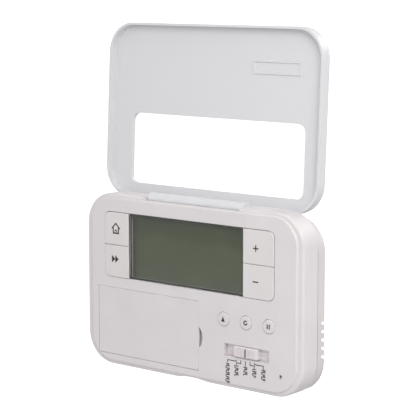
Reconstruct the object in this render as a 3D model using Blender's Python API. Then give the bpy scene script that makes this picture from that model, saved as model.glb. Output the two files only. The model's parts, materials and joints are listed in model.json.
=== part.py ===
"""Wall thermostat with a flip-up cover, built as separate closed solids.

Frame: the wall is the plane Y = 0, the front faces -Y, +Z is up, and the body is centred on X = 0, Z = 0.
All sizes below are in millimetres and are turned into metres by MM.
"""
import math

import bmesh
import bpy
from mathutils import Vector

MM = 0.001

# Depth planes of the body, from the front face back to the wall.
FACE_Y = -23.2
LEDGE_Y = FACE_Y + 0.8
PART_Y = FACE_Y + 11.0
REAR_FRONT_Y = PART_Y + 0.8
LIP_FRONT_Y = PART_Y - 1.7
REAR_BACK_Y = FACE_Y + 16.9
PLATE_FRONT_Y = REAR_BACK_Y + 0.3
WALL_Y = 0.0

# Body outline.
BODY_W = 128.0
BODY_H = 82.4
BODY_R = 15.0
WALL = 1.8
REAR_INSET = 0.3
FACE_W = 122.0
FACE_H = 79.2
FACE_R = 13.0
GAP = 0.3

# Display and key block, one shared opening in the face.
BLOCK_X0, BLOCK_X1 = -51.9, 48.8
BLOCK_Z0, BLOCK_Z1 = 1.5, 32.9
BLOCK_R = 3.2
LENS_X0, LENS_X1 = -37.0, 31.2
KEY_SPLIT_Z = 17.0
KEY_GAP = 0.15
WIDE_KEY_GAP = 0.3
KEY_PROUD = 0.4
KEY_TRAVEL = 0.8
FLANGE_FRONT_Y = FACE_Y + 2.1
FLANGE_BACK_Y = FACE_Y + 3.4

# Round keys.
ROUND_X = (20.2, 32.95, 45.7)
ROUND_Z = -9.9
ROUND_R = 3.2

# Mode slider.
SLIDE_X = 33.3
SLIDE_Z = -23.65
SLIDE_TRAVEL = 5.2
WINDOW_W, WINDOW_H = 25.2, 5.7
SHIELD_HALF = WINDOW_W / 2 + SLIDE_TRAVEL + GAP

# Reset hole.
RESET_X, RESET_Z = 52.2, -31.6
RESET_R = 0.9
RESET_TRAVEL = 0.3

# Battery door and well.
DOOR_X0, DOOR_X1 = -56.4, 5.6
DOOR_Z0, DOOR_Z1 = -36.1, -3.5
DOOR_T = 1.2
DOOR_GAP = 0.1
DOOR_SEAT_Y = FACE_Y + 1.5
WELL_X0, WELL_X1 = -54.9, 4.1
WELL_Z0, WELL_Z1 = -35.0, -4.6
WELL_WALL = 1.2
WELL_FLOOR_Y = FACE_Y + 15.65
WELL_FLOOR_T = 0.95
TAB_Z = (-6.9, -33.2)
TAB_W = 3.4
CELL_R = 7.0
CELL_L = 49.4
NUB_L = 1.0
CELL_Y = FACE_Y + 8.5
CELL_Z = (-12.2, -27.4)

# Circuit board.
BOARD_FRONT_Y = FACE_Y + 8.8
BOARD_BACK_Y = FACE_Y + 10.4
DOME_BACK_Y = BOARD_FRONT_Y - 0.1
DOME_FRONT_Y = DOME_BACK_Y - 0.6
STEM_END_Y = DOME_FRONT_Y - KEY_TRAVEL - 0.1

# Flip-up cover: the hinge axis runs along X through this point.
HINGE_Y, HINGE_Z = -16.7, 40.05
COVER_OPEN_DEG = 182.9
COVER_W, COVER_H = 124.8, 82.3
COVER_R = 14.0
COVER_TOP_Z = 40.8
COVER_RIM_Y = LEDGE_Y - 0.1
COVER_DEPTH = 6.0
COVER_PLATE_T = 2.0
COVER_WALL = 1.1
NOTCH_HALF = 28.3
NOTCH_FLOOR_Z = 36.6
BARREL_R = 3.0
HINGE_PIN_R = 0.7

# Fastener places, as (x, z).
CASE_SCREWS = ((-57.8, 22.0), (59.4, 24.0), (58.9, -29.9), (10.0, -35.5))
BOARD_SCREWS = ((-55.4, 12.0), (53.4, 28.0), (53.2, -15.5), (13.2, -4.0))

# Wall plate and what is on it.
PLATE_W, PLATE_H, PLATE_R = 108.0, 62.0, 8.0
PLATE_T = 1.6
TERMINAL_X = (-0.5, 6.5, 13.5, 20.5)
TERMINAL_BLOCK = (-4.0, 24.0, -11.4, -1.9, 12.0, 24.0)
RELAY = (29.0, 47.0, -12.5, -3.4, 12.5, 27.5)
REAR_OPENING = (-8.0, 50.0, 8.0, 28.2)

PLASTIC = ("housing_plastic", (0.80, 0.76, 0.75), 0.45, 0.0)
COVER_PLASTIC = ("cover_plastic", (0.78, 0.78, 0.80), 0.35, 0.0)
KEY_PLASTIC = ("key_plastic", (0.84, 0.80, 0.79), 0.40, 0.0)
REAR_PLASTIC = ("rear_plastic", (0.74, 0.70, 0.69), 0.50, 0.0)
KNOB_PLASTIC = ("knob_plastic", (0.80, 0.74, 0.78), 0.40, 0.0)
CLEAR_LENS = ("clear_lens", (0.55, 0.57, 0.52), 0.08, 0.0)
DISPLAY_GLASS = ("display_glass", (0.12, 0.13, 0.09), 0.15, 0.0)
DARK_PLASTIC = ("dark_plastic", (0.03, 0.03, 0.03), 0.50, 0.0)
DIFFUSER = ("diffuser", (0.82, 0.84, 0.80), 0.60, 0.0)
BOARD_GREEN = ("board_green", (0.03, 0.16, 0.07), 0.50, 0.0)
SPRING_STEEL = ("spring_steel", (0.62, 0.62, 0.62), 0.30, 1.0)
ZINC = ("zinc_screw", (0.66, 0.66, 0.68), 0.35, 1.0)
CELL_WRAP = ("cell_wrap", (0.05, 0.06, 0.09), 0.35, 0.0)
RELAY_BLUE = ("relay_case", (0.04, 0.10, 0.28), 0.40, 0.0)
TERMINAL_GREEN = ("terminal_plastic", (0.05, 0.30, 0.14), 0.50, 0.0)
RUBBER = ("contact_rubber", (0.08, 0.08, 0.09), 0.80, 0.0)
SENSOR = ("sensor_bead", (0.10, 0.05, 0.02), 0.35, 0.0)


def clear_scene():
    for obj in list(bpy.data.objects):
        bpy.data.objects.remove(obj, do_unlink=True)


def make_collection(name):
    collection = bpy.data.collections.new(name)
    bpy.context.scene.collection.children.link(collection)
    return collection


def material(spec):
    """Return the Principled material for a (name, colour, roughness, metallic) spec."""
    name, colour, roughness, metallic = spec
    existing = bpy.data.materials.get(name)
    if existing:
        return existing
    mat = bpy.data.materials.new(name)
    mat.use_nodes = True
    shader = mat.node_tree.nodes["Principled BSDF"]
    shader.inputs["Base Color"].default_value = (*colour, 1.0)
    shader.inputs["Roughness"].default_value = roughness
    shader.inputs["Metallic"].default_value = metallic
    mat.diffuse_color = (*colour, 1.0)
    return mat


def add_object(name, bm, spec=None, smooth=False):
    """Turn a bmesh in millimetres into an object in metres."""
    bmesh.ops.scale(bm, vec=(MM, MM, MM), verts=bm.verts)
    bmesh.ops.recalc_face_normals(bm, faces=bm.faces)
    mesh = bpy.data.meshes.new(name)
    bm.to_mesh(mesh)
    bm.free()
    obj = bpy.data.objects.new(name, mesh)
    if spec:
        PARTS.objects.link(obj)
        mesh.materials.append(material(spec))
    else:
        CUTTERS.objects.link(obj)
        obj.hide_render = True
        obj.display_type = "WIRE"
    if smooth:
        mesh.shade_smooth()
        mesh.set_sharp_from_angle(angle=math.radians(35))
    return obj


def box_mesh(x0, x1, y0, y1, z0, z1):
    bm = bmesh.new()
    bmesh.ops.create_cube(bm, size=1.0)
    bmesh.ops.scale(bm, vec=(x1 - x0, y1 - y0, z1 - z0), verts=bm.verts)
    centre = Vector(((x0 + x1) / 2, (y0 + y1) / 2, (z0 + z1) / 2))
    bmesh.ops.translate(bm, vec=centre, verts=bm.verts)
    return bm


def edges_along_y(bm):
    found = []
    for edge in bm.edges:
        step = edge.verts[0].co - edge.verts[1].co
        if abs(step.x) < 1e-4 and abs(step.z) < 1e-4:
            found.append(edge)
    return found


def rim_edges(bm, y):
    """Edges of the outline that lies in the plane Y = y."""
    found = []
    for edge in bm.edges:
        if all(abs(vert.co.y - y) < 1e-4 for vert in edge.verts):
            found.append(edge)
    return found


def slab_mesh(x0, x1, y0, y1, z0, z1, radius, segments=8, front_round=0.0, front_steps=2):
    """A box with its four corners along Y rounded, and its front outline rounded too if asked."""
    bm = box_mesh(x0, x1, y0, y1, z0, z1)
    if radius:
        bmesh.ops.bevel(bm, geom=edges_along_y(bm), offset=radius, segments=segments,
                        profile=0.5, affect="EDGES")
    if front_round:
        bmesh.ops.bevel(bm, geom=rim_edges(bm, y0), offset=front_round, segments=front_steps,
                        profile=0.5, affect="EDGES")
    return bm


def box(name, bounds, spec=None):
    return add_object(name, box_mesh(*bounds), spec)


def slab(name, bounds, radius, spec=None, **options):
    return add_object(name, slab_mesh(*bounds, radius, **options), spec)


def cylinder_mesh(radius, length, segments, axis, centre, radius_end=None):
    bm = bmesh.new()
    end = radius if radius_end is None else radius_end
    bmesh.ops.create_cone(bm, cap_ends=True, segments=segments, radius1=radius, radius2=end,
                          depth=length)
    turn = Vector((0, 0, 1)).rotation_difference(Vector(axis))
    bmesh.ops.rotate(bm, cent=(0, 0, 0), matrix=turn.to_matrix(), verts=bm.verts)
    bmesh.ops.translate(bm, vec=Vector(centre), verts=bm.verts)
    return bm


def cylinder_y(name, x, z, radius, y0, y1, spec=None, segments=20, back_radius=None):
    """A cylinder along Y from y0 to y1, or a cone if the radius at y1 differs."""
    bm = cylinder_mesh(radius, y1 - y0, segments, (0, 1, 0), (x, (y0 + y1) / 2, z), back_radius)
    return add_object(name, bm, spec, smooth=True)


def cylinder_x(name, y, z, radius, x0, x1, spec=None, segments=20):
    bm = cylinder_mesh(radius, x1 - x0, segments, (1, 0, 0), ((x0 + x1) / 2, y, z))
    return add_object(name, bm, spec, smooth=True)


def boolean(target, other, operation):
    modifier = target.modifiers.new(other.name, "BOOLEAN")
    modifier.object = other
    modifier.operation = operation
    modifier.solver = "EXACT"


def subtract(target, *cutters):
    for cutter in cutters:
        boolean(target, cutter, "DIFFERENCE")


def unite(target, *pieces):
    for piece in pieces:
        boolean(target, piece, "UNION")


def pivot_at(name, y, z, x=0.0):
    """An empty on a joint's axis, for the pieces that turn about it."""
    empty = bpy.data.objects.new(name, None)
    empty.location = (x * MM, y * MM, z * MM)
    CUTTERS.objects.link(empty)
    return empty


def hang_on(empty, objects):
    """Parent objects to an empty without moving them."""
    bpy.context.view_layer.update()
    for obj in objects:
        obj.parent = empty
        obj.matrix_parent_inverse = empty.matrix_world.inverted()


def front_housing():
    half_w, half_h = BODY_W / 2, BODY_H / 2
    housing = slab("front_housing", (-half_w, half_w, LEDGE_Y, PART_Y, -half_h, half_h), BODY_R,
                   PLASTIC, segments=12, front_round=1.2, front_steps=4)
    inner_w, inner_h = half_w - WALL, half_h - WALL
    face_half_w, face_half_h = FACE_W / 2, FACE_H / 2
    unite(housing, slab("face_plateau", (-face_half_w, face_half_w, FACE_Y, LEDGE_Y + WALL + 0.2,
                                         -face_half_h, face_half_h), FACE_R, segments=12,
                        front_round=0.8, front_steps=3))
    subtract(housing,
             slab("case_hollow", (-inner_w, inner_w, LEDGE_Y + WALL, PART_Y + 1, -inner_h, inner_h),
                  BODY_R - WALL),
             slab("face_hollow", (-59.0, 59.0, FACE_Y + WALL, LEDGE_Y + WALL + 0.3, -37.8, 37.6), 11.0,
                  segments=5))
    add_battery_well(housing)
    add_hinge_channel(housing)
    add_bosses(housing)
    cut_face_openings(housing)
    lift_half, lift_depth = 9.25, 1.2
    lift_r = (lift_half ** 2 + lift_depth ** 2) / (2 * lift_depth)
    subtract(housing, cylinder_y("finger_lift", 1.25, -half_h + lift_depth - lift_r, lift_r,
                                 FACE_Y - 1, LEDGE_Y + 3.5, segments=144))
    return housing


def add_battery_well(housing):
    w = WELL_WALL
    unite(housing,
          slab("well_tub", (WELL_X0 - w, WELL_X1 + w, FACE_Y + 2.8, WELL_FLOOR_Y + WELL_FLOOR_T,
                            WELL_Z0 - w, WELL_Z1 + w), 2.5, segments=3),
          slab("well_collar", (WELL_X0 - 2.3, WELL_X1 + 5.1, FACE_Y + 1.7, FACE_Y + 3.0,
                               WELL_Z0 - 2.0, WELL_Z1 + 2.3), 3.0, segments=3))
    subtract(housing,
             box("well_hollow", (WELL_X0, WELL_X1, FACE_Y - 1, WELL_FLOOR_Y, WELL_Z0, WELL_Z1)),
             box("door_seat", (DOOR_X0, DOOR_X1, FACE_Y - 1, DOOR_SEAT_Y, DOOR_Z0, DOOR_Z1)))
    for index, z in enumerate(TAB_Z):
        half = TAB_W / 2 + 0.35
        subtract(housing, box(f"tab_slot_{index + 1}", (DOOR_X0 - 2.0, WELL_X0 + 0.1, FACE_Y + 1.4,
                                                       FACE_Y + 4.8, z - half, z + half)))
    scoop_half, scoop_depth = 5.0, 2.4
    scoop_r = (scoop_half ** 2 + scoop_depth ** 2) / (2 * scoop_depth)
    subtract(housing, cylinder_y("finger_scoop", DOOR_X1 + scoop_depth - scoop_r, -20.4, scoop_r,
                                 FACE_Y - 1, FACE_Y + 2.2, segments=48))


def add_hinge_channel(housing):
    """The notch in the top ledge that takes the cover's barrel, with a hole at each end."""
    end_wall = 5.0
    unite(housing, box("channel_block", (-NOTCH_HALF - end_wall, NOTCH_HALF + end_wall, FACE_Y + 1.7,
                                         PART_Y, NOTCH_FLOOR_Z - 1.2, BODY_H / 2 - WALL + 0.2)))
    subtract(housing,
             box("notch_top", (-NOTCH_HALF, NOTCH_HALF, FACE_Y - 1, PART_Y + 1, FACE_H / 2, BODY_H)),
             box("notch_deep", (-NOTCH_HALF, NOTCH_HALF, HINGE_Y - BARREL_R - 0.4, PART_Y + 1,
                                NOTCH_FLOOR_Z, FACE_H / 2 + 1)),
             cylinder_x("hinge_holes", HINGE_Y, HINGE_Z, HINGE_PIN_R + 0.25, -NOTCH_HALF - 3.0,
                        NOTCH_HALF + 3.0))


def add_bosses(housing):
    """Screw bosses for the rear shell and the board, and the two rails that guide the slider."""
    for index, (x, z) in enumerate(CASE_SCREWS):
        unite(housing, cylinder_y(f"case_boss_{index + 1}", x, z, 2.0, FACE_Y + 1.6, PART_Y - 2.0))
    for index, (x, z) in enumerate(BOARD_SCREWS):
        unite(housing, cylinder_y(f"board_boss_{index + 1}", x, z, 1.9, FACE_Y + 1.6,
                                  BOARD_FRONT_Y - 0.2, segments=16))
    for index, (x, z) in enumerate(CASE_SCREWS):
        subtract(housing, cylinder_y(f"case_boss_hole_{index + 1}", x, z, 1.45, FACE_Y + 5.0, PART_Y,
                                     segments=12))
    for index, (x, z) in enumerate(BOARD_SCREWS):
        subtract(housing, cylinder_y(f"board_boss_hole_{index + 1}", x, z, 1.25, FACE_Y + 4.5,
                                     BOARD_FRONT_Y, segments=12))
    for index, z in enumerate((SLIDE_Z - 4.6, SLIDE_Z + 4.6)):
        unite(housing, box(f"slider_rail_{index + 1}", (14.0, 56.0, FACE_Y + 1.7, FACE_Y + 3.1,
                                                       z - 0.35, z + 0.35)))


def cut_face_openings(housing):
    through = (FACE_Y - 1, FACE_Y + 2.0)
    subtract(housing,
             slab("block_opening", (BLOCK_X0, BLOCK_X1, *through, BLOCK_Z0, BLOCK_Z1), BLOCK_R,
                  segments=5),
             box("slide_window", (SLIDE_X - WINDOW_W / 2, SLIDE_X + WINDOW_W / 2, *through,
                                  SLIDE_Z - WINDOW_H / 2, SLIDE_Z + WINDOW_H / 2)),
             cylinder_y("reset_hole", RESET_X, RESET_Z, RESET_R, *through, segments=16))
    for index, x in enumerate(ROUND_X):
        subtract(housing, cylinder_y(f"round_opening_{index + 1}", x, ROUND_Z, ROUND_R + KEY_GAP, *through,
                                     segments=28))


def rear_housing():
    half_w = BODY_W / 2 - REAR_INSET
    z0, z1 = REAR_INSET - BODY_H / 2, 38.0
    wall, corner_r = 1.4, BODY_R - REAR_INSET
    rear = slab("rear_housing", (-half_w, half_w, REAR_FRONT_Y, REAR_BACK_Y, z0, z1), corner_r,
                REAR_PLASTIC)
    lip_w = BODY_W / 2 - WALL - GAP
    lip_z = BODY_H / 2 - WALL - GAP
    unite(rear, slab("lip_block", (-lip_w, lip_w, LIP_FRONT_Y, REAR_FRONT_Y + 0.5, -lip_z, lip_z), 12.9))
    subtract(rear,
             slab("rear_hollow", (wall - half_w, half_w - wall, REAR_FRONT_Y - 0.3, REAR_BACK_Y - wall,
                                  z0 + wall, z1 - wall), corner_r - wall),
             slab("lip_hollow", (1.2 - lip_w, lip_w - 1.2, LIP_FRONT_Y - 1.0, REAR_FRONT_Y,
                                 1.2 - lip_z, lip_z - 2.6), 11.5),
             box("lip_gap", (-34.0, 34.0, LIP_FRONT_Y - 1.0, REAR_FRONT_Y - 0.1, 30.0, BODY_H)),
             box("lip_top_trim", (-half_w, half_w, REAR_FRONT_Y - 0.1, REAR_FRONT_Y + 2.0, z1, BODY_H)))
    for index, (x, z) in enumerate(CASE_SCREWS):
        unite(rear, cylinder_y(f"post_nose_{index + 1}", x, z, 2.2, LIP_FRONT_Y, REAR_FRONT_Y + 0.2),
              cylinder_y(f"rear_post_{index + 1}", x, z, 2.8, REAR_FRONT_Y - 0.1, REAR_BACK_Y - 0.5))
    for index, (x, z) in enumerate(CASE_SCREWS):
        subtract(rear,
                 cylinder_y(f"post_hole_{index + 1}", x, z, 1.45, PART_Y - 3.0, REAR_BACK_Y + 1,
                            segments=12),
                 cylinder_y(f"post_sink_{index + 1}", x, z, 2.0, REAR_BACK_Y - 2.8, REAR_BACK_Y + 1,
                            segments=16))
    x0, x1, oz0, oz1 = REAR_OPENING
    well_gap = WELL_WALL + 0.5
    subtract(rear,
             box("rear_opening", (x0, x1, REAR_BACK_Y - 3, REAR_BACK_Y + 1, oz0, oz1)),
             box("well_opening", (WELL_X0 - well_gap, WELL_X1 + well_gap, REAR_BACK_Y - 3, REAR_BACK_Y + 1,
                                  WELL_Z0 - well_gap, WELL_Z1 + well_gap)))
    for side in (-1, 1):
        subtract(rear, box(f"hook_slot_{side + 2}", (side * 33.0 - 3.4, side * 33.0 + 3.4,
                                                    REAR_BACK_Y - 3, REAR_BACK_Y + 1, 28.9, 31.4)))
        for index in range(5):
            z = -8.6 - 3.8 * index
            x_mid = side * half_w
            subtract(rear, box(f"vent_{side + 2}_{index + 1}", (x_mid - 2.4, x_mid + 2.4,
                                                               REAR_BACK_Y - 2.2, REAR_BACK_Y + 1,
                                                               z - 0.75, z + 0.75)))
    return rear


def flip_lid():
    """The cover, modelled shut and turned open about the hinge axis."""
    half_w = COVER_W / 2
    z0, z1 = COVER_TOP_Z - COVER_H, COVER_TOP_Z
    outer_y = COVER_RIM_Y - COVER_DEPTH
    plate_y = outer_y + COVER_PLATE_T
    lid = slab("flip_lid", (-half_w, half_w, outer_y, COVER_RIM_Y, z0, z1), COVER_R, COVER_PLASTIC,
               segments=12, front_round=1.4, front_steps=3)
    wall = COVER_WALL
    hollow = slab("cover_hollow", (wall - half_w, half_w - wall, plate_y, COVER_RIM_Y + 1,
                                   z0 + wall, z1 - wall), COVER_R - wall, segments=12)
    window = slab("cover_window", (-50.0, 51.6, outer_y - 1, plate_y + 1, 1.1, 34.65), 4.0, segments=5)
    tongue_half = NOTCH_HALF - GAP
    tongue = box("cover_tongue", (-tongue_half, tongue_half, COVER_RIM_Y - 0.5, HINGE_Y, z1 - wall, z1))
    barrel = cylinder_x("cover_barrel", HINGE_Y, HINGE_Z, BARREL_R, -tongue_half, tongue_half,
                        segments=32)
    pins = cylinder_x("cover_pins", HINGE_Y, HINGE_Z, HINGE_PIN_R, -NOTCH_HALF - 2.2, NOTCH_HALF + 2.2,
                      segments=14)
    subtract(lid, hollow)
    frame_x0, frame_x1, frame_z0, frame_z1 = 21.8, 48.6, -26.2, -20.1
    frame_wall = 0.8
    frame = box("knob_frame", (frame_x0, frame_x1, plate_y - 0.3, plate_y + 0.5, frame_z0, frame_z1))
    frame_hollow = box("knob_frame_hollow", (frame_x0 + frame_wall, frame_x1 - frame_wall, plate_y,
                                             plate_y + 2, frame_z0 + frame_wall, frame_z1 - frame_wall))
    unite(lid, tongue, barrel, pins, frame)
    subtract(lid, frame_hollow, window)
    hinge = pivot_at("lid_hinge_axis", HINGE_Y, HINGE_Z)
    hang_on(hinge, (lid, hollow, window, tongue, barrel, pins, frame, frame_hollow))
    hinge.rotation_euler.x = math.radians(-COVER_OPEN_DEG)
    return lid


def battery_door():
    x0, x1 = DOOR_X0 + DOOR_GAP, DOOR_X1 - DOOR_GAP
    z0, z1 = DOOR_Z0 + DOOR_GAP, DOOR_Z1 - DOOR_GAP
    door = slab("battery_door", (x0, x1, FACE_Y, FACE_Y + DOOR_T, z0, z1), 0.5, PLASTIC, segments=2,
                front_round=0.2, front_steps=1)
    for index, z in enumerate(TAB_Z):
        half = TAB_W / 2
        web = box(f"door_web_{index + 1}", (DOOR_X0 + 0.4, DOOR_X0 + 1.4, FACE_Y + DOOR_T - 0.2,
                                           FACE_Y + 2.7, z - half, z + half))
        tab = box(f"door_tab_{index + 1}", (DOOR_X0 - 1.3, DOOR_X0 + 1.4, FACE_Y + 1.9, FACE_Y + 2.7,
                                           z - half, z + half))
        unite(door, web, tab)
    pivot = pivot_at("battery_door_axis", FACE_Y, (DOOR_Z0 + DOOR_Z1) / 2, DOOR_X0)
    hang_on(pivot, (door,))
    return door


def big_key(name, x0, x1, z0, z1, side, end):
    """A key cap with one rounded outer corner, a flange behind the face and a stem.

    side is -1 or 1 for the outer side in X, end is -1 or 1 for the outer end in Z.
    """
    bm = box_mesh(x0, x1, FACE_Y - KEY_PROUD, FLANGE_BACK_Y, z0, z1)
    corner_x = x1 if side > 0 else x0
    corner_z = z1 if end > 0 else z0
    corner = []
    for edge in edges_along_y(bm):
        vert = edge.verts[0].co
        if abs(vert.x - corner_x) < 1e-4 and abs(vert.z - corner_z) < 1e-4:
            corner.append(edge)
    bmesh.ops.bevel(bm, geom=corner, offset=BLOCK_R - WIDE_KEY_GAP, segments=5, profile=0.5,
                    affect="EDGES")
    front = rim_edges(bm, FACE_Y - KEY_PROUD)
    bmesh.ops.bevel(bm, geom=front, offset=0.4, segments=2, profile=0.5, affect="EDGES")
    key = add_object(name, bm, KEY_PLASTIC)
    reach = 1.0
    fx0, fx1 = (x0, x1 + reach) if side > 0 else (x0 - reach, x1)
    fz0, fz1 = (z0, z1 + reach) if end > 0 else (z0 - reach, z1)
    unite(key, box(name + "_flange", (fx0, fx1, FLANGE_FRONT_Y, FLANGE_BACK_Y, fz0, fz1)),
          cylinder_y(name + "_stem", (x0 + x1) / 2, (z0 + z1) / 2, 1.6, FLANGE_BACK_Y - 0.3, STEM_END_Y,
                     segments=16))
    return key


def key_places():
    """The four large keys as name: (x0, x1, z0, z1, outer side, outer end)."""
    left = (BLOCK_X0 + KEY_GAP, LENS_X0 - KEY_GAP)
    right = (LENS_X1 + KEY_GAP, BLOCK_X1 - WIDE_KEY_GAP)
    upper = (KEY_SPLIT_Z + KEY_GAP / 2, BLOCK_Z1 - WIDE_KEY_GAP)
    lower = (BLOCK_Z0 + KEY_GAP, KEY_SPLIT_Z - KEY_GAP / 2)
    return {"home_key": (*left, *upper, -1, 1), "advance_key": (*left, *lower, -1, -1),
            "plus_key": (*right, *upper, 1, 1), "minus_key": (*right, *lower, 1, -1)}


def round_key(name, x):
    bm = cylinder_mesh(ROUND_R, FLANGE_BACK_Y - FACE_Y + KEY_PROUD, 28, (0, 1, 0),
                       (x, (FACE_Y - KEY_PROUD + FLANGE_BACK_Y) / 2, ROUND_Z))
    bmesh.ops.bevel(bm, geom=rim_edges(bm, FACE_Y - KEY_PROUD), offset=0.4, segments=2, profile=0.5,
                    affect="EDGES")
    key = add_object(name, bm, KEY_PLASTIC, smooth=True)
    unite(key, cylinder_y(name + "_flange", x, ROUND_Z, ROUND_R + 1.1, FLANGE_FRONT_Y, FLANGE_BACK_Y,
                          segments=28),
          cylinder_y(name + "_stem", x, ROUND_Z, 1.5, FLANGE_BACK_Y - 0.3, STEM_END_Y, segments=14))
    return key


def keys_and_domes():
    centres = {}
    for name, place in key_places().items():
        big_key(name, *place)
        centres[name] = ((place[0] + place[1]) / 2, (place[2] + place[3]) / 2)
    for name, x in zip(("round_key_left", "round_key_middle", "round_key_right"), ROUND_X):
        round_key(name, x)
        centres[name] = (x, ROUND_Z)
    for name, (x, z) in centres.items():
        cylinder_y("dome_under_" + name, x, z, 1.4, DOME_FRONT_Y, DOME_BACK_Y, SPRING_STEEL,
                   segments=16, back_radius=2.8)


def mode_slider():
    knob = slab("mode_slider_knob", (SLIDE_X - 6.8, SLIDE_X + 6.8, FACE_Y - 1.0, FACE_Y + 2.4,
                                     SLIDE_Z - 2.35, SLIDE_Z + 2.6), 0.5, KNOB_PLASTIC, segments=2,
                front_round=0.4, front_steps=2)
    unite(knob, box("slider_shield", (SLIDE_X - SHIELD_HALF, SLIDE_X + SHIELD_HALF, FACE_Y + 2.1,
                                      FACE_Y + 2.9, SLIDE_Z - 3.9, SLIDE_Z + 3.9)))
    body = box("slide_switch_body", (SLIDE_X - 9.0, SLIDE_X + 9.0, FACE_Y + 4.3, BOARD_FRONT_Y - 0.2,
                                     SLIDE_Z - 3.0, SLIDE_Z + 3.0), SPRING_STEEL)
    subtract(body, box("lever_slot", (SLIDE_X - 6.8, SLIDE_X + 6.8, FACE_Y + 4.0, FACE_Y + 6.4,
                                      SLIDE_Z - 1.1, SLIDE_Z + 1.1)))
    box("slide_switch_lever", (SLIDE_X - 0.9, SLIDE_X + 0.9, FACE_Y + 3.1, FACE_Y + 6.0,
                               SLIDE_Z - 0.75, SLIDE_Z + 0.75), DARK_PLASTIC)


def reset_switch():
    half, switch_y = 2.5, FACE_Y + 6.8
    box("reset_switch_body", (RESET_X - half, RESET_X + half, switch_y, BOARD_FRONT_Y - 0.2,
                              RESET_Z - half, RESET_Z + half), DARK_PLASTIC)
    cylinder_y("reset_plunger", RESET_X, RESET_Z, 1.4, FACE_Y + 3.6, switch_y - RESET_TRAVEL - 0.1,
               RUBBER, segments=16)


def display():
    mid_x = (LENS_X0 + LENS_X1) / 2
    slab("lcd_lens", (LENS_X0 + 0.05, LENS_X1 - 0.05, FACE_Y + 0.3, FACE_Y + 1.5, BLOCK_Z0 + GAP,
                      BLOCK_Z1 - GAP), 0.4, CLEAR_LENS, segments=1)
    frame = box("lcd_frame", (LENS_X0 + 0.05, LENS_X1 - 0.05, FACE_Y + 1.9, FACE_Y + 5.0,
                              BLOCK_Z0 - 1.8, BLOCK_Z1 + 1.8), DARK_PLASTIC)
    subtract(frame, box("lcd_frame_window", (LENS_X0 + 1.6, LENS_X1 - 1.6, FACE_Y + 1, FACE_Y + 6,
                                             BLOCK_Z0 + 1.6, BLOCK_Z1 - 1.4)))
    box("lcd_glass", (mid_x - 33.0, mid_x + 33.0, FACE_Y + 5.2, FACE_Y + 7.2, BLOCK_Z0 - 0.5,
                      BLOCK_Z1 + 0.5), DISPLAY_GLASS)
    box("lcd_backlight", (mid_x - 31.0, mid_x + 31.0, FACE_Y + 7.5, FACE_Y + 8.4, BLOCK_Z0 + 2.5,
                          BLOCK_Z1), DIFFUSER)
    box("lcd_contact_strip", (mid_x - 27.0, mid_x + 27.0, FACE_Y + 7.5, FACE_Y + 8.5, BLOCK_Z0 - 0.2,
                              BLOCK_Z0 + 1.6), RUBBER)


def main_board():
    """The board is a plate with the battery corner and a strip at the left cut away."""
    board = slab("main_board", (-57.6, 55.6, BOARD_FRONT_Y, BOARD_BACK_Y, -34.8, 34.5), 6.0, BOARD_GREEN,
                 segments=4)
    reach = (BOARD_FRONT_Y - 1, BOARD_BACK_Y + 1)
    subtract(board,
             box("battery_corner", (-70, 8.6, *reach, -50, -1.2)),
             box("post_corner", (-70, 15.6, *reach, -50, -29.5)),
             box("left_strip_upper", (-70, -53.2, *reach, 15.0, 50)),
             box("left_strip_lower", (-70, -53.2, *reach, -50, 9.0)))
    for index, (x, z) in enumerate(BOARD_SCREWS):
        subtract(board, cylinder_y(f"board_hole_{index + 1}", x, z, 1.3, *reach, segments=12))


def screw(name, x, z, head_r, head_y, head_t, shank_r, shank_end_y, spec=ZINC):
    """A screw driven towards -Y from behind, with a cross recess in its head."""
    body = cylinder_y(name, x, z, head_r, head_y - head_t, head_y, spec, segments=18)
    unite(body, cylinder_y(name + "_shank", x, z, shank_r, shank_end_y, head_y - head_t + 0.2,
                           segments=12))
    recess = head_r * 0.55
    for index, (half_x, half_z) in enumerate(((recess, 0.22), (0.22, recess))):
        subtract(body, box(f"{name}_recess_{index + 1}", (x - half_x, x + half_x, head_y - head_t * 0.5,
                                                         head_y + 1, z - half_z, z + half_z)))


def screws():
    for index, (x, z) in enumerate(CASE_SCREWS):
        screw(f"case_screw_{index + 1}", x, z, 1.8, REAR_BACK_Y - 1.2, 1.3, 1.15, FACE_Y + 6.0)
    for index, (x, z) in enumerate(BOARD_SCREWS):
        screw(f"board_screw_{index + 1}", x, z, 1.9, BOARD_BACK_Y + 1.3, 1.1, 0.95, FACE_Y + 5.5)


def battery_cell(name, z, nub_side):
    """A cell along X with its nub towards +X or -X."""
    nub_end = WELL_X1 - 1.1 if nub_side > 0 else WELL_X0 + 1.1
    start = nub_end - nub_side * NUB_L
    body_end = start - nub_side * CELL_L
    cell = cylinder_x(name, CELL_Y, z, CELL_R, min(start, body_end), max(start, body_end), CELL_WRAP,
                      segments=28)
    unite(cell, cylinder_x(name + "_nub", CELL_Y, z, 2.6, min(start - nub_side, nub_end),
                           max(start - nub_side, nub_end), segments=16))
    return body_end


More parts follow.
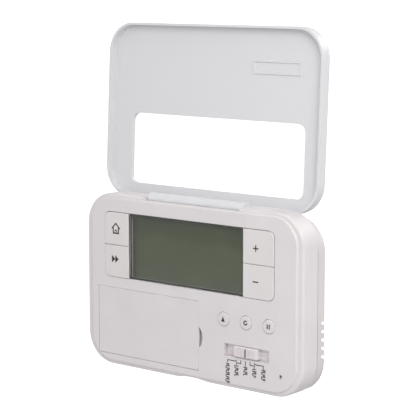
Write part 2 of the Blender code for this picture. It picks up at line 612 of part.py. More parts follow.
def contact_spring(name, z, wall_x, cell_x):
    """A conical coil from the well's wall to the flat end of the cell."""
    turns, points_per_turn = 3.5, 10
    wire_r = 0.35
    start_x = wall_x + math.copysign(wire_r + 0.4, cell_x - wall_x)
    end_x = cell_x - math.copysign(wire_r + 0.3, cell_x - wall_x)
    count = int(turns * points_per_turn) + 1
    curve = bpy.data.curves.new(name, "CURVE")
    curve.dimensions = "3D"
    curve.bevel_depth = wire_r * MM
    curve.bevel_resolution = 1
    curve.use_fill_caps = True
    spline = curve.splines.new("POLY")
    spline.points.add(count - 1)
    for index in range(count):
        share = index / (count - 1)
        radius = 3.0 - 1.0 * share
        angle = 2 * math.pi * turns * share
        spline.points[index].co = ((start_x + (end_x - start_x) * share) * MM,
                                   (CELL_Y + radius * math.cos(angle)) * MM,
                                   (z + radius * math.sin(angle)) * MM, 1.0)
    obj = bpy.data.objects.new(name, curve)
    PARTS.objects.link(obj)
    curve.materials.append(material(SPRING_STEEL))


def batteries():
    upper_end = battery_cell("battery_upper", CELL_Z[0], 1)
    lower_end = battery_cell("battery_lower", CELL_Z[1], -1)
    contact_spring("battery_spring_upper", CELL_Z[0], WELL_X0, upper_end)
    contact_spring("battery_spring_lower", CELL_Z[1], WELL_X1, lower_end)
    plate_t = 0.5
    for name, z, x0 in (("battery_plate_upper", CELL_Z[0], WELL_X1 - GAP - plate_t),
                        ("battery_plate_lower", CELL_Z[1], WELL_X0 + GAP)):
        box(name, (x0, x0 + plate_t, CELL_Y - 4.0, CELL_Y + 4.0, z - 3.6, z + 3.6), SPRING_STEEL)


def board_parts():
    back = BOARD_BACK_Y + GAP
    box("mcu_chip", (-36.0, -24.0, back, back + 1.6, 14.0, 26.0), DARK_PLASTIC)
    crystal = cylinder_mesh(1.4, 8.0, 16, (0, 0, 1), (-17.0, back + 1.5, 20.0))
    add_object("crystal", crystal, ZINC, smooth=True)
    cylinder_y("backup_capacitor", -44.0, 8.0, 4.0, back, back + 4.4, DARK_PLASTIC, segments=24)
    box("relay", RELAY, RELAY_BLUE)
    sensor_y = (BOARD_FRONT_Y + BOARD_BACK_Y) / 2
    sensor = cylinder_x("temperature_sensor", sensor_y, -8.0, 0.5, 55.9, 58.6, SENSOR, segments=10)
    bead = bmesh.new()
    bmesh.ops.create_uvsphere(bead, u_segments=12, v_segments=8, radius=1.2)
    bmesh.ops.translate(bead, vec=(59.0, sensor_y, -8.0), verts=bead.verts)
    unite(sensor, add_object("sensor_tip", bead))


def wall_plate():
    half_w, half_h = PLATE_W / 2, PLATE_H / 2
    plate = slab("wall_plate", (-half_w, half_w, PLATE_FRONT_Y, WALL_Y, -half_h, half_h), PLATE_R,
                 REAR_PLASTIC, segments=5)
    rim = WALL
    subtract(plate,
             slab("plate_hollow", (rim - half_w, half_w - rim, PLATE_FRONT_Y - 1, WALL_Y - PLATE_T,
                                   rim - half_h, half_h - rim), PLATE_R - rim, segments=5),
             slab("cable_entry", (6.0, 34.0, WALL_Y - 4, WALL_Y + 1, -14.0, 4.0), 3.0, segments=3))
    for side in (-1, 1):
        subtract(plate, slab(f"wall_screw_slot_{side + 2}", (side * 42.0 - 5.0, side * 42.0 + 5.0,
                                                            WALL_Y - 4, WALL_Y + 1, -22.2, -17.8), 2.15,
                             segments=4))
        x0, x1 = side * 33.0 - 3.0, side * 33.0 + 3.0
        unite(plate, box(f"hook_stem_{side + 2}", (x0, x1, REAR_BACK_Y - 3.2, WALL_Y - 2.0, 29.3, 30.9)),
              box(f"hook_tip_{side + 2}", (x0, x1, REAR_BACK_Y - 3.2, REAR_BACK_Y - 2.0, 30.5, 32.6)))


def terminals():
    x0, x1, y0, y1, z0, z1 = TERMINAL_BLOCK
    block = box("terminal_block", TERMINAL_BLOCK, TERMINAL_GREEN)
    for index, x in enumerate(TERMINAL_X):
        number = index + 1
        subtract(block,
                 cylinder_y(f"terminal_well_{number}", x, z0 + 4.0, 2.4, y0 - 1, y0 + 3.2, segments=18),
                 box(f"blade_slot_{number}", (x - 1.9, x + 1.9, y0 - 1, y0 + 4.8, z0 + 8.3, z0 + 10.3)),
                 box(f"wire_entry_{number}", (x - 1.7, x + 1.7, y0 + 4.4, y0 + 8.0, z0 - 1, z0 + 4.5)))
        head = cylinder_y(f"terminal_screw_{number}", x, z0 + 4.0, 2.0, y0 + 0.8, y0 + 2.8, ZINC,
                          segments=18)
        subtract(head, box(f"terminal_screw_groove_{number}", (x - 2.5, x + 2.5, y0, y0 + 1.5,
                                                              z0 + 3.75, z0 + 4.25)))
        box(f"blade_contact_{number}", (x - 1.5, x + 1.5, BOARD_BACK_Y + GAP, y0 + 4.2, z0 + 8.9,
                                        z0 + 9.7), SPRING_STEEL)


def build():
    front_housing()
    rear_housing()
    flip_lid()
    battery_door()
    keys_and_domes()
    mode_slider()
    reset_switch()
    display()
    main_board()
    screws()
    batteries()
    board_parts()
    wall_plate()
    terminals()


clear_scene()
PARTS = make_collection("wall_thermostat")
CUTTERS = make_collection("cutters")
build()
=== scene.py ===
"""Looks of the wall thermostat: materials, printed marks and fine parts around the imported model.

Positions are in metres in the model's frame; MM turns the millimetre sizes used here into metres.
"""
import json
import math

import bmesh
import bpy
from mathutils import Matrix, Vector


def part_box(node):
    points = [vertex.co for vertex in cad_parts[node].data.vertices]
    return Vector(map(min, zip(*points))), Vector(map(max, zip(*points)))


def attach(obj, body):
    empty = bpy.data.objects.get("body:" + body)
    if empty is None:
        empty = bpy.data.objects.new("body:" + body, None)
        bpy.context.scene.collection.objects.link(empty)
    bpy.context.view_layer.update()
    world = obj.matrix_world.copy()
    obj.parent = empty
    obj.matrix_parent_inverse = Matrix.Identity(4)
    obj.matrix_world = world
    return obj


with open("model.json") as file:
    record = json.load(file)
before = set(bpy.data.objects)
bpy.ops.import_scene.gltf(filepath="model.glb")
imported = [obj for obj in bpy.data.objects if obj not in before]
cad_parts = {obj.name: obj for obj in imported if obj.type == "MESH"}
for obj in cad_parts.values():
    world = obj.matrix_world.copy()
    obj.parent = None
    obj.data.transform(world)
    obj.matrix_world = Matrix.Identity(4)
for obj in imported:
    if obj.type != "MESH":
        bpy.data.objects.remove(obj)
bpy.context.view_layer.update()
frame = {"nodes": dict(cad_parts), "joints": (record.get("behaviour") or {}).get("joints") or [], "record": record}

MM = 0.001

# Printed marks: how far they stand out of a face and sink into it, and how much neighbours differ.
PRINT_T = 0.02 * MM
PRINT_SINK = 0.004 * MM
PRINT_STEP = 0.002 * MM

# Depth of the lip behind the rear shell's front; the lip is painted dark as shade in the parting groove.
SHADED_LIP_DEPTH = 2.5 * MM

# Inner face of the cover when it is shut, where the ejector marks stand.
SHUT_COVER_Y = -26.5 * MM

# Camera: the point it looks at, its direction in degrees, its distance and its lens.
LOOK_AT = Vector((11.2, -23.2, 39.8)) * MM
YAW, PITCH = 39.17, 8.24
DISTANCE = 718.8 * MM
LENS_MM = 138.46
SENSOR_MM = 36.0
CLIP_NEAR, CLIP_FAR = 0.01, 500.0

# Stage, in metres: a floor disc with a wall at its rim, both glowing white, under a plain sky.
FLOOR_Z = -0.35
FLOOR_R = 80.0
BACKDROP_H = 45.0
FLOOR_GLOW = 0.52
SKY_BELOW, SKY_ABOVE = 0.62, 0.74
LIT_POINT = (0.0, 0.0, 0.04)
# Each light: its place, its width in metres and its power in watts.
LIGHTS = {
    "key": ((0.38, -0.30, 0.30), 0.25, 1.15),
    "front_fill": ((0.3, -1.45, 0.3), 1.0, 2.0),
    "right_fill": ((1.2, -0.3, -0.1), 0.8, 0.7),
    "top": ((0.1, -0.25, 1.5), 0.9, 1.5),
    "back": ((0.5, 1.2, 0.9), 0.9, 4.0),
}


# ---------------------------------------------------------------- materials

def node_tree(name):
    """A new material, its node tree and its shader."""
    mat = bpy.data.materials.new(name)
    mat.use_nodes = True
    tree = mat.node_tree
    return mat, tree, tree.nodes["Principled BSDF"]


def add_node(tree, kind, **inputs):
    """Add a node and set its inputs; an underscore in a name stands for a space."""
    node = tree.nodes.new(kind)
    for key, value in inputs.items():
        node.inputs[key.replace("_", " ")].default_value = value
    return node


def noise(tree, coords, scale, detail=3.0):
    node = add_node(tree, "ShaderNodeTexNoise", Scale=scale, Detail=detail, Roughness=0.55)
    tree.links.new(coords, node.inputs["Vector"])
    return node.outputs["Fac"]


def ramp(tree, value, low, high, out_low, out_high):
    """Map value from low..high to out_low..out_high, held at the ends."""
    node = add_node(tree, "ShaderNodeMapRange", From_Min=low, From_Max=high, To_Min=out_low,
                    To_Max=out_high)
    tree.links.new(value, node.inputs["Value"])
    return node.outputs["Result"]


def mix_colour(tree, factor, first, second):
    """Mix two colours; each is a socket or an (r, g, b)."""
    node = tree.nodes.new("ShaderNodeMix")
    node.data_type = "RGBA"
    tree.links.new(factor, node.inputs["Factor"])
    # Inputs 6 and 7 and output 2 are this node's colour sockets.
    for socket, value in ((node.inputs[6], first), (node.inputs[7], second)):
        if isinstance(value, tuple):
            socket.default_value = (*value, 1.0)
        else:
            tree.links.new(value, socket)
    return node.outputs[2]


def shade(colour, factor):
    return tuple(channel * factor for channel in colour)


def surface(name, colour, roughness, tint=0.03, grain=2600.0, bump=0.10, blotch=45.0, wear=0.06,
            metallic=0.0, specular=0.5, coat=0.0, smear=0.05, pattern=None):
    """A moulded, pressed or printed surface.

    It has slow colour drift, a fine grain in roughness and bump, and paler convex edges.
    pattern, if given, is a function that takes the drifting colour and returns the one before wear.
    """
    mat, tree, shader = node_tree(name)
    coords = tree.nodes.new("ShaderNodeTexCoord").outputs["Object"]
    drift = ramp(tree, noise(tree, coords, blotch), 0.3, 0.7, 0.0, 1.0)
    base = mix_colour(tree, drift, shade(colour, 1.0 - tint), shade(colour, 1.0 + tint))
    if pattern:
        base = pattern(tree, coords, base)
    point = tree.nodes.new("ShaderNodeNewGeometry").outputs["Pointiness"]
    edge = ramp(tree, point, 0.52, 0.62, 0.0, wear)
    pale = tuple(min(1.0, channel * 1.08 + 0.02) for channel in colour)
    tree.links.new(mix_colour(tree, edge, base, pale), shader.inputs["Base Color"])
    fine = noise(tree, coords, grain, detail=2.0)
    handled = noise(tree, coords, blotch * 5.0, detail=4.0)
    spread = tree.nodes.new("ShaderNodeMath")
    spread.operation = "ADD"
    tree.links.new(ramp(tree, fine, 0.3, 0.7, -0.04, 0.04), spread.inputs[0])
    tree.links.new(ramp(tree, handled, 0.3, 0.7, roughness - smear, roughness + smear), spread.inputs[1])
    tree.links.new(spread.outputs[0], shader.inputs["Roughness"])
    relief = add_node(tree, "ShaderNodeBump", Strength=bump, Distance=0.03 * MM)
    tree.links.new(fine, relief.inputs["Height"])
    tree.links.new(relief.outputs["Normal"], shader.inputs["Normal"])
    shader.inputs["Metallic"].default_value = metallic
    shader.inputs["Specular IOR Level"].default_value = specular
    shader.inputs["Coat Weight"].default_value = coat
    return mat


def split_axis(tree, coords, axis):
    node = tree.nodes.new("ShaderNodeSeparateXYZ")
    tree.links.new(coords, node.inputs[0])
    return node.outputs[axis]


def brushed(name, colour, roughness):
    """Drawn or rolled metal, with long streaks along X."""
    def streaks(tree, coords, base):
        stretch = tree.nodes.new("ShaderNodeMapping")
        stretch.inputs["Scale"].default_value = (0.08, 1.0, 1.0)
        tree.links.new(coords, stretch.inputs["Vector"])
        fine = noise(tree, stretch.outputs["Vector"], 5200.0, detail=4.0)
        return mix_colour(tree, ramp(tree, fine, 0.35, 0.65, 0.0, 1.0), base, shade(colour, 0.8))
    return surface(name, colour, roughness, metallic=1.0, bump=0.15, pattern=streaks)


def cell_sleeve(name):
    """A battery's printed sleeve: a copper band at the nub end and a thin pale line beside it."""
    low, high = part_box("battery_upper")

    def bands(tree, coords, base):
        x = split_axis(tree, coords, "X")
        length = high.x - low.x
        line = ramp(tree, x, low.x + 0.68 * length, low.x + 0.683 * length, 0.0, 1.0)
        band = ramp(tree, x, low.x + 0.70 * length, low.x + 0.703 * length, 0.0, 1.0)
        pale = mix_colour(tree, line, base, (0.55, 0.55, 0.52))
        return mix_colour(tree, band, pale, (0.52, 0.26, 0.10))
    return surface(name, (0.025, 0.028, 0.035), 0.28, tint=0.2, bump=0.03, coat=0.4, pattern=bands)


def laminate(name):
    """Solder-masked board: copper traces show through as a grid of paler lines."""
    def traces(tree, coords, base):
        bricks = add_node(tree, "ShaderNodeTexBrick", Scale=420.0, Mortar_Size=0.12)
        tree.links.new(coords, bricks.inputs["Vector"])
        return mix_colour(tree, ramp(tree, bricks.outputs["Fac"], 0.0, 1.0, 0.0, 0.5), base,
                          (0.07, 0.26, 0.12))
    return surface(name, (0.025, 0.13, 0.06), 0.32, tint=0.1, bump=0.08, coat=0.2, pattern=traces)


def grooved(name, node, colour, roughness):
    """Moulded plastic whose lip at the node's front is painted dark, as painted shade in the parting groove.

    From behind, the painted lip also shows beside the hinge when the cover is shut.
    """
    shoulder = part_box(node)[0].y + SHADED_LIP_DEPTH

    def painted_groove_shade(tree, coords, base):
        y = split_axis(tree, coords, "Y")
        # Painted shade: the lip's front is coloured dark brown so that the parting groove reads as shaded.
        return mix_colour(tree, ramp(tree, y, shoulder - 0.06 * MM, shoulder, 1.0, 0.0), base,
                          (0.055, 0.030, 0.028))
    return surface(name, colour, roughness, grain=2100.0, bump=0.14, pattern=painted_groove_shade)


def clear_pane(name):
    """The clear lens, with faint smears and a slight green tint."""
    mat, tree, shader = node_tree(name)
    coords = tree.nodes.new("ShaderNodeTexCoord").outputs["Object"]
    smear = noise(tree, coords, 160.0, detail=5.0)
    tree.links.new(ramp(tree, smear, 0.3, 0.7, 0.02, 0.07), shader.inputs["Roughness"])
    tint = ramp(tree, noise(tree, coords, 40.0), 0.3, 0.7, 0.0, 1.0)
    tree.links.new(mix_colour(tree, tint, (0.93, 0.95, 0.92), (0.97, 0.98, 0.96)),
                   shader.inputs["Base Color"])
    shader.inputs["Transmission Weight"].default_value = 1.0
    shader.inputs["IOR"].default_value = 1.38
    shader.inputs["Specular IOR Level"].default_value = 0.25
    return mat


def display_film(name):
    """The blank display: olive grey with fine cells, darker above a wavy line from a painted reflection, and
    darker at its top and left from painted shade.
    """
    low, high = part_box("lcd_lens")

    def cells(tree, coords, base):
        x, z = split_axis(tree, coords, "X"), split_axis(tree, coords, "Z")
        wave = ramp(tree, noise(tree, coords, 55.0, detail=1.0), 0.3, 0.7, -1.5 * MM, 1.5 * MM)
        wavy_z = tree.nodes.new("ShaderNodeMath")
        wavy_z.operation = "ADD"
        tree.links.new(z, wavy_z.inputs[0])
        tree.links.new(wave, wavy_z.inputs[1])
        middle = (low.z + high.z) / 2
        # Painted reflection: the film is darkened above a wavy line across its upper part.
        upper = ramp(tree, wavy_z.outputs[0], middle + 5.5 * MM, middle + 7.5 * MM, 0.0, 0.8)
        toned = mix_colour(tree, upper, base, (0.024, 0.030, 0.010))
        lower = ramp(tree, z, low.z, middle, 0.8, 0.0)
        toned = mix_colour(tree, lower, toned, (0.052, 0.058, 0.036))
        bricks = add_node(tree, "ShaderNodeTexBrick", Scale=900.0, Mortar_Size=0.05)
        tree.links.new(coords, bricks.inputs["Vector"])
        toned = mix_colour(tree, ramp(tree, bricks.outputs["Fac"], 0.0, 1.0, 0.0, 0.08), toned,
                           (0.09, 0.10, 0.06))
        # Painted shade: the film darkens towards its left and top edges, where its frame would shade it.
        left = ramp(tree, x, low.x + 2.0 * MM, low.x + 5.6 * MM, 0.9, 0.0)
        top = ramp(tree, z, high.z - 3.2 * MM, high.z - 0.6 * MM, 0.0, 0.9)
        toned = mix_colour(tree, left, toned, (0.010, 0.011, 0.008))
        return mix_colour(tree, top, toned, (0.006, 0.007, 0.005))
    return surface(name, (0.041, 0.047, 0.021), 0.30, tint=0.03, bump=0.004, wear=0.0, specular=0.12,
                   smear=0.02, pattern=cells)


HOUSING = surface("housing_look", (0.705, 0.667, 0.675), 0.42)
REAR = grooved("rear_look", "rear_housing", (0.66, 0.625, 0.62), 0.48)
PLATE = surface("plate_look", (0.66, 0.625, 0.62), 0.48, grain=2100.0, bump=0.14)
COVER = surface("cover_look", (0.69, 0.688, 0.708), 0.32, tint=0.006, grain=3400.0, bump=0.05, coat=0.1,
                smear=0.02)
KEYCAP = surface("key_look", (0.705, 0.668, 0.67), 0.36, grain=3000.0, bump=0.08)
KNOB = surface("knob_look", (0.73, 0.68, 0.70), 0.34, grain=3000.0, bump=0.06)
INK = surface("ink_look", (0.022, 0.020, 0.022), 0.45, tint=0.2, bump=0.06, wear=0.0)
BLACK = surface("black_look", (0.018, 0.018, 0.017), 0.38, tint=0.15, bump=0.10)
MASK = surface("mask_look", (0.012, 0.012, 0.011), 0.4, tint=0.1, bump=0.03, wear=0.0, specular=0.15)
DIFFUSER = surface("diffuser_look", (0.74, 0.76, 0.72), 0.5)
RUBBER = surface("rubber_look", (0.05, 0.05, 0.055), 0.75, tint=0.12, bump=0.2)
RELAY_CASE = surface("relay_look", (0.03, 0.08, 0.24), 0.3, tint=0.08)
TERMINAL = surface("terminal_look", (0.04, 0.24, 0.11), 0.45, tint=0.08, bump=0.12)
BEAD = surface("bead_look", (0.10, 0.045, 0.02), 0.3, tint=0.15, coat=0.5)
STEEL = brushed("steel_look", (0.60, 0.60, 0.60), 0.28)
ZINC = brushed("zinc_look", (0.62, 0.62, 0.65), 0.34)
BOARD = laminate("board_look")
SLEEVE = cell_sleeve("sleeve_look")
PANE = clear_pane("pane_look")
FILM = display_film("film_look")
# Painted highlight: the pale grey of the lines that stand for light caught along the display glass's cut edge.
PAINTED_EDGE_HIGHLIGHT = surface("edge_highlight_look", (0.17, 0.16, 0.16), 0.35, tint=0.06, bump=0.02)

LOOK_OF_SLOT = {
    "housing_plastic": HOUSING, "cover_plastic": COVER, "key_plastic": KEYCAP, "rear_plastic": REAR,
    "knob_plastic": KNOB, "clear_lens": PANE, "display_glass": FILM, "dark_plastic": BLACK,
    "diffuser": DIFFUSER, "board_green": BOARD, "spring_steel": STEEL, "zinc_screw": ZINC,
    "cell_wrap": SLEEVE, "relay_case": RELAY_CASE, "terminal_plastic": TERMINAL,
    "contact_rubber": RUBBER, "sensor_bead": BEAD,
}
LOOK_OF_NODE = {"wall_plate": PLATE}

# Width of the softened edges in millimetres: of the nodes whose edges show, and of all others.
EDGE_MM = {"front_housing": 0.22, "rear_housing": 0.25, "wall_plate": 0.3, "flip_lid": 0.25,
           "battery_door": 0.12, "lcd_lens": 0.1, "lcd_frame": 0.2, "relay": 0.4, "terminal_block": 0.2}
SMALL_EDGE_MM = 0.08
SHARP_DEG = 38


# ---------------------------------------------------------------- carried-over nodes

def smooth_group():
    """A node group that welds a node's faceted mesh and shades it smooth."""
    group = bpy.data.node_groups.new("smooth_faces", "GeometryNodeTree")
    group.interface.new_socket("Geometry", in_out="INPUT", socket_type="NodeSocketGeometry")
    group.interface.new_socket("Geometry", in_out="OUTPUT", socket_type="NodeSocketGeometry")
    start = group.nodes.new("NodeGroupInput")
    weld = group.nodes.new("GeometryNodeMergeByDistance")
    weld.inputs["Distance"].default_value = 0.002 * MM
    smooth = group.nodes.new("GeometryNodeSetShadeSmooth")
    end = group.nodes.new("NodeGroupOutput")
    group.links.new(start.outputs[0], weld.inputs["Geometry"])
    group.links.new(weld.outputs[0], smooth.inputs["Geometry"])
    group.links.new(smooth.outputs[0], end.inputs[0])
    return group


def finish_node(name, node, slot, group):
    """Give a node its look, smooth shading and softened edges."""
    node.data.materials.clear()
    node.data.materials.append(LOOK_OF_NODE.get(name, LOOK_OF_SLOT[slot]))
    node.modifiers.new("smooth", "NODES").node_group = group
    bevel = node.modifiers.new("edges", "BEVEL")
    bevel.width = EDGE_MM.get(name, SMALL_EDGE_MM) * MM
    bevel.segments = 2
    bevel.limit_method = "ANGLE"
    bevel.angle_limit = math.radians(SHARP_DEG)
    bevel.harden_normals = True
    weighted = node.modifiers.new("normals", "WEIGHTED_NORMAL")
    weighted.keep_sharp = True


def finish_nodes():
    group = smooth_group()
    slots = {entry["node"]: entry["material_slot"] for entry in frame["record"]["subparts"]}
    for name, node in frame["nodes"].items():
        finish_node(name, node, slots[name], group)
    frame["nodes"]["lcd_lens"].visible_shadow = False


# ---------------------------------------------------------------- new pieces

def new_piece(name, bm, look, body):
    """Turn a bmesh into a piece that rides on a body."""
    bmesh.ops.recalc_face_normals(bm, faces=bm.faces)
    mesh = bpy.data.meshes.new(name)
    bm.to_mesh(mesh)
    bm.free()
    obj = bpy.data.objects.new(name, mesh)
    bpy.context.scene.collection.objects.link(obj)
    mesh.materials.append(look)
    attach(obj, body)


def add_prism(bm, outline, y_front, y_back):
    """A flat closed prism from an outline of (x, z) points, in metres."""
    front = [bm.verts.new((x, y_front, z)) for x, z in outline]
    back = [bm.verts.new((x, y_back, z)) for x, z in outline]
    bm.faces.new(front)
    bm.faces.new(list(reversed(back)))
    count = len(outline)
    for i in range(count):
        j = (i + 1) % count
        bm.faces.new((front[j], front[i], back[i], back[j]))


def add_sheet(bm, x0, x1, z0, z1, y_front, y_back):
    """A flat closed rectangle."""
    add_prism(bm, [(x0, z0), (x1, z0), (x1, z1), (x0, z1)], y_front, y_back)


def bar(start, end, width):
    """The outline of a straight bar between two points."""
    a, b = Vector(start), Vector(end)
    along = (b - a).normalized() * width / 2
    side = Vector((-along.y, along.x))
    return [a - along - side, b + along - side, b + along + side, a - along + side]


def strokes(points, width):
    """The outlines of the straight bars that join the points in turn."""
    return [bar(a, b, width) for a, b in zip(points, points[1:])]


def ring_outlines(radius, width, count):
    """A ring as separate outlines, one for each of its short arcs."""
    outlines = []
    for i in range(count):
        a, b = (2 * math.pi * k / count for k in (i, i + 1))
        outlines.append([((radius + s * width / 2) * math.cos(t), (radius + s * width / 2) * math.sin(t))
                         for t, s in ((a, -1), (b, -1), (b, 1), (a, 1))])
    return outlines


def printed(name, outlines, centre, y, body):
    """Printed marks on a face at depth y: outlines in millimetres around centre, also in millimetres.

    Neighbouring outlines differ a little in thickness, so where two cross their faces don't coincide.
    """
    bm = bmesh.new()
    for index, outline in enumerate(outlines):
        points = [((centre[0] + x) * MM, (centre[1] + z) * MM) for x, z in outline]
        add_prism(bm, points, y - PRINT_T - index % 4 * PRINT_STEP, y + PRINT_SINK)
    new_piece(name, bm, INK, body)


def key_centre(name):
    """The middle of a key's face, in millimetres."""
    low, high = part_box(name)
    return (low.x + high.x) / 2 / MM, (low.z + high.z) / 2 / MM


def key_marks():
    """The house, double arrow, plus and minus on the four large keys, and a sign on each round key."""
    cap_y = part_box("plus_key")[0].y
    half, eave, top = 2.35, 0.15, 2.5
    house = strokes([(-half, eave), (0.0, top), (half, eave)], 0.62)
    house += strokes([(-1.65, 0.3), (-1.65, -2.2), (1.65, -2.2), (1.65, 0.3)], 0.62)
    house += strokes([(-0.55, -2.2), (-0.55, -0.7), (0.55, -0.7), (0.55, -2.2)], 0.42)
    arrows = [[(x, 1.8), (x, -1.8), (x + 2.15, 0.0)] for x in (-2.15, 0.0)]
    plus = [bar((-1.2, 0.0), (1.2, 0.0), 0.6), bar((0.0, 1.2), (0.0, -1.2), 0.6)]
    minus = [bar((-1.2, 0.0), (1.2, 0.0), 0.62)]
    # The marks sit a little off the middle of their keys, so each has its own place, in millimetres.
    placed_marks = {
        "home_key": (house, (-44.6, 24.9)),
        "advance_key": (arrows, (-45.1, 10.3)),
        "plus_key": (plus, (38.6, 24.3)),
        "minus_key": (minus, (38.5, 9.3)),
    }
    for key, (outlines, place) in placed_marks.items():
        printed(key + "_mark", outlines, place, cap_y, key)
    round_marks = {
        "round_key_left": [[(-1.0, -1.15), (1.0, -1.15), (0.0, 1.35)]],
        "round_key_middle": ring_outlines(0.85, 0.6, 20)[2:],
        "round_key_right": [bar((x, 0.75), (x, -0.75), 0.62) for x in (-0.55, 0.55)],
    }
    for key, outlines in round_marks.items():
        printed(key + "_mark", outlines, key_centre(key), cap_y, key)


def selector_marks():
    """Ticks under the slide window, lines that fan out from them, and a column of bars for each.

    Sizes here are in millimetres, except face_y.
    """
    face_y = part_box("front_housing")[0].y
    centre_x, pitch, spread = 32.75, 2.6, 5.05
    tick_z, line_w = -27.7, 0.4
    first_row, row_pitch = 0.85, 1.02
    lines, columns = [], []
    rows_in_column = (9, 5, 4, 4, 5)
    for i, rows in enumerate(rows_in_column):
        step = i - 2
        outermost = abs(step) == 2
        tick_x = centre_x + step * pitch
        label_x = centre_x + step * spread
        level = tick_z - (0.5 if outermost else 1.2)
        end_z = tick_z - 2.0 + 0.3 * outermost
        if step:
            path = [(tick_x, tick_z), (tick_x, level), (label_x, level), (label_x, end_z)]
        else:
            path = [(tick_x, tick_z), (tick_x, end_z)]
        lines += strokes(path, line_w)
        for k in range(rows):
            z = end_z - first_row - row_pitch * k
            reach = 0.95 if (k + i) % 3 else 0.7
            columns.append(bar((label_x - reach, z + 0.22), (label_x + reach, z + 0.22), 0.42))
            if (k + i) % 2:
                columns.append(bar((label_x - reach, z + 0.2), (label_x - reach, z - 0.34), 0.42))
            else:
                columns.append(bar((label_x - 0.1, z - 0.3), (label_x + reach, z - 0.3), 0.38))
    printed("selector_lines", lines, (0.0, 0.0), face_y, "case")
    printed("selector_bars", columns, (0.0, 0.0), face_y, "case")


def slider_grip():
    """The ribbed top of the selector's knob, with a dark index line across its middle."""
    low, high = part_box("mode_slider_knob")
    x_mid, z_mid = (low.x + high.x) / 2, (low.z + high.z) / 2
    top = low.y
    half_x, half_z = 6.2 * MM, 1.95 * MM
    rib_pitch, rib_h = 0.9 * MM, 0.28 * MM
    half_rib, half_index = 0.30 * rib_pitch, 0.3 * MM
    count = int(half_x / rib_pitch)
    ribs = bmesh.new()
    for i in range(-count, count + 1):
        if i == 0:
            continue
        x = x_mid + i * rib_pitch
        crown = rib_h * (1.0 - 0.5 * (i / count) ** 2)
        add_sheet(ribs, x - half_rib, x + half_rib, z_mid - half_z, z_mid + half_z, top - crown,
                  top + 0.05 * MM)
    new_piece("slider_ribs", ribs, KNOB, "mode_slider")
    index = bmesh.new()
    add_sheet(index, x_mid - half_index, x_mid + half_index, z_mid - half_z, z_mid + half_z,
              top - 0.025 * MM, top + 0.02 * MM)
    new_piece("slider_index", index, INK, "mode_slider")


def display_layers():
    """The film behind the lens, pale lines painted as the highlight along its glass's cut edge, and the black
    frame around it.
    """
    low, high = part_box("lcd_lens")
    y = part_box("lcd_frame")[0].y
    inset, black_w, pale_w = 0.15 * MM, 0.95 * MM, 0.45 * MM
    x0, x1, z0, z1 = low.x + inset, high.x - inset, low.z + inset, high.z - inset
    pale_x0 = x0 + black_w
    pale_x1 = pale_x0 + pale_w
    film = [(x0, x1, z0, z1)]
    # Painted highlight: pale lines along the glass's left and bottom cut edges.
    painted_edge_highlights = [
        (pale_x0, pale_x1, z0 + 0.6 * MM, z1 - 2.2 * MM),
        (pale_x1, x1 - 0.2 * MM, z0 + 0.6 * MM, z0 + 0.8 * MM),
    ]
    black_bars = [
        (x0, pale_x0, z0, z1),
        (pale_x1, x0 + 2 * black_w + pale_w / 2, z0 + 0.8 * MM, z1),
        (x0, x1, z1 - 0.7 * MM, z1),
        (x0, x1, z0, z0 + 0.55 * MM),
        (x0 + 2 * black_w, x1, z0 + 0.85 * MM, z0 + 1.05 * MM),
    ]
    # Each layer: name, rectangles, look, slot, and how far its front and back are ahead of lcd_frame.
    layers = (
        ("display_film", film, FILM, "display_glass", 0.16 * MM, 0.1 * MM),
        ("display_edge_highlight", painted_edge_highlights, PAINTED_EDGE_HIGHLIGHT, "display_glass", 0.2 * MM, 0.15 * MM),
        ("display_black_frame", black_bars, MASK, "dark_plastic", 0.19 * MM, 0.14 * MM),
    )
    for name, rectangles, look, slot, front, back in layers:
        bm = bmesh.new()
        for left, right, bottom, top in rectangles:
            add_sheet(bm, left, right, bottom, top, y - front, y - back)
        new_piece(name, bm, look, "case")


def lid_marks():
    """Ejector-pin marks inside the cover, laid out on the shut cover and turned open with it."""
    hinge = next(joint for joint in frame["joints"] if joint["name"] == "lid_hinge")
    pivot = Vector(hinge["pos_m"])
    turn = Matrix.Rotation(-math.radians(hinge["range_deg"][0]), 4, Vector(hinge["axis"]))
    # Each ring: its centre (x, z), its radius and its width, in millimetres.
    rings = ((-48.1, -35.0, 2.2, 0.35), (33.6, -34.9, 2.2, 0.35), (-2.6, -36.8, 0.8, 0.3),
             (26.3, -5.9, 1.7, 0.2))
    bm = bmesh.new()
    for x, z, radius, width in rings:
        for outline in ring_outlines(radius, width, 28):
            points = [((x + px) * MM, (z + pz) * MM) for px, pz in outline]
            add_prism(bm, points, SHUT_COVER_Y - 0.01 * MM, SHUT_COVER_Y + width / 3 * MM)
    bm.transform(Matrix.Translation(pivot) @ turn @ Matrix.Translation(-pivot))
    new_piece("lid_mould_marks", bm, COVER, "flip_lid")


# ---------------------------------------------------------------- stage

def add_light(name, place, width, watts):
    """A round area light that faces the object."""
    light = bpy.data.lights.new(name, "AREA")
    light.shape = "DISK"
    light.size = width
    light.energy = watts
    obj = bpy.data.objects.new(name, light)
    obj.location = place
    direction = Vector(LIT_POINT) - Vector(place)
    obj.rotation_euler = direction.to_track_quat("-Z", "Y").to_euler()
    bpy.context.scene.collection.objects.link(obj)


def set_sky():
    """A white sky, a little brighter above than below."""
    world = bpy.data.worlds.new("studio")
    bpy.context.scene.world = world
    world.use_nodes = True
    tree = world.node_tree
    direction = tree.nodes.new("ShaderNodeTexCoord").outputs["Generated"]
    height = split_axis(tree, direction, "Z")
    background = tree.nodes["Background"]
    background.inputs["Color"].default_value = (1.0, 1.0, 1.0, 1.0)
    strength = ramp(tree, height, -0.6, 0.7, SKY_BELOW, SKY_ABOVE)
    tree.links.new(strength, background.inputs["Strength"])


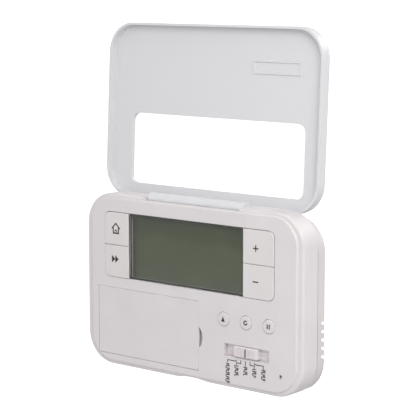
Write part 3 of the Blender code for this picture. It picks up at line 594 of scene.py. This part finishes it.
def floor_look():
    """Matt white that glows a little, so that it renders as plain white."""
    mat, tree, shader = node_tree("floor_look")
    coords = tree.nodes.new("ShaderNodeTexCoord").outputs["Object"]
    tone = ramp(tree, noise(tree, coords, 3.0), 0.3, 0.7, 0.0, 1.0)
    tree.links.new(mix_colour(tree, tone, (0.88, 0.88, 0.88), (0.90, 0.90, 0.90)),
                   shader.inputs["Base Color"])
    shader.inputs["Roughness"].default_value = 0.9
    shader.inputs["Emission Color"].default_value = (1.0, 1.0, 1.0, 1.0)
    shader.inputs["Emission Strength"].default_value = FLOOR_GLOW
    return mat


def add_floor():
    """The floor disc and the wall at its rim. The camera sees them, but they light nothing."""
    bm = bmesh.new()
    bmesh.ops.create_circle(bm, cap_ends=True, segments=64, radius=FLOOR_R)
    rim = bmesh.ops.extrude_edge_only(bm, edges=[edge for edge in bm.edges if edge.is_boundary])
    raised = [item for item in rim["geom"] if isinstance(item, bmesh.types.BMVert)]
    bmesh.ops.translate(bm, vec=(0.0, 0.0, BACKDROP_H), verts=raised)
    mesh = bpy.data.meshes.new("floor")
    bm.to_mesh(mesh)
    bm.free()
    mesh.materials.append(floor_look())
    floor = bpy.data.objects.new("floor", mesh)
    floor.location.z = FLOOR_Z
    floor.visible_diffuse = False
    floor.visible_glossy = False
    floor.visible_shadow = False
    bpy.context.scene.collection.objects.link(floor)


def set_stage():
    bpy.context.scene.view_settings.view_transform = "Standard"
    set_sky()
    add_floor()
    for name, (place, width, watts) in LIGHTS.items():
        add_light(name, place, width, watts)


def set_camera():
    scene = bpy.context.scene
    data = bpy.data.cameras.new("camera")
    data.lens = LENS_MM
    data.sensor_width = SENSOR_MM
    data.clip_start, data.clip_end = CLIP_NEAR, CLIP_FAR
    camera = bpy.data.objects.new("camera", data)
    yaw, pitch = math.radians(YAW), math.radians(PITCH)
    back = Vector((math.sin(yaw) * math.cos(pitch), -math.cos(yaw) * math.cos(pitch), math.sin(pitch)))
    camera.location = LOOK_AT + back * DISTANCE
    camera.rotation_euler = (-back).to_track_quat("-Z", "Y").to_euler()
    scene.collection.objects.link(camera)
    scene.camera = camera


finish_nodes()
key_marks()
selector_marks()
slider_grip()
display_layers()
lid_marks()
set_stage()
set_camera()
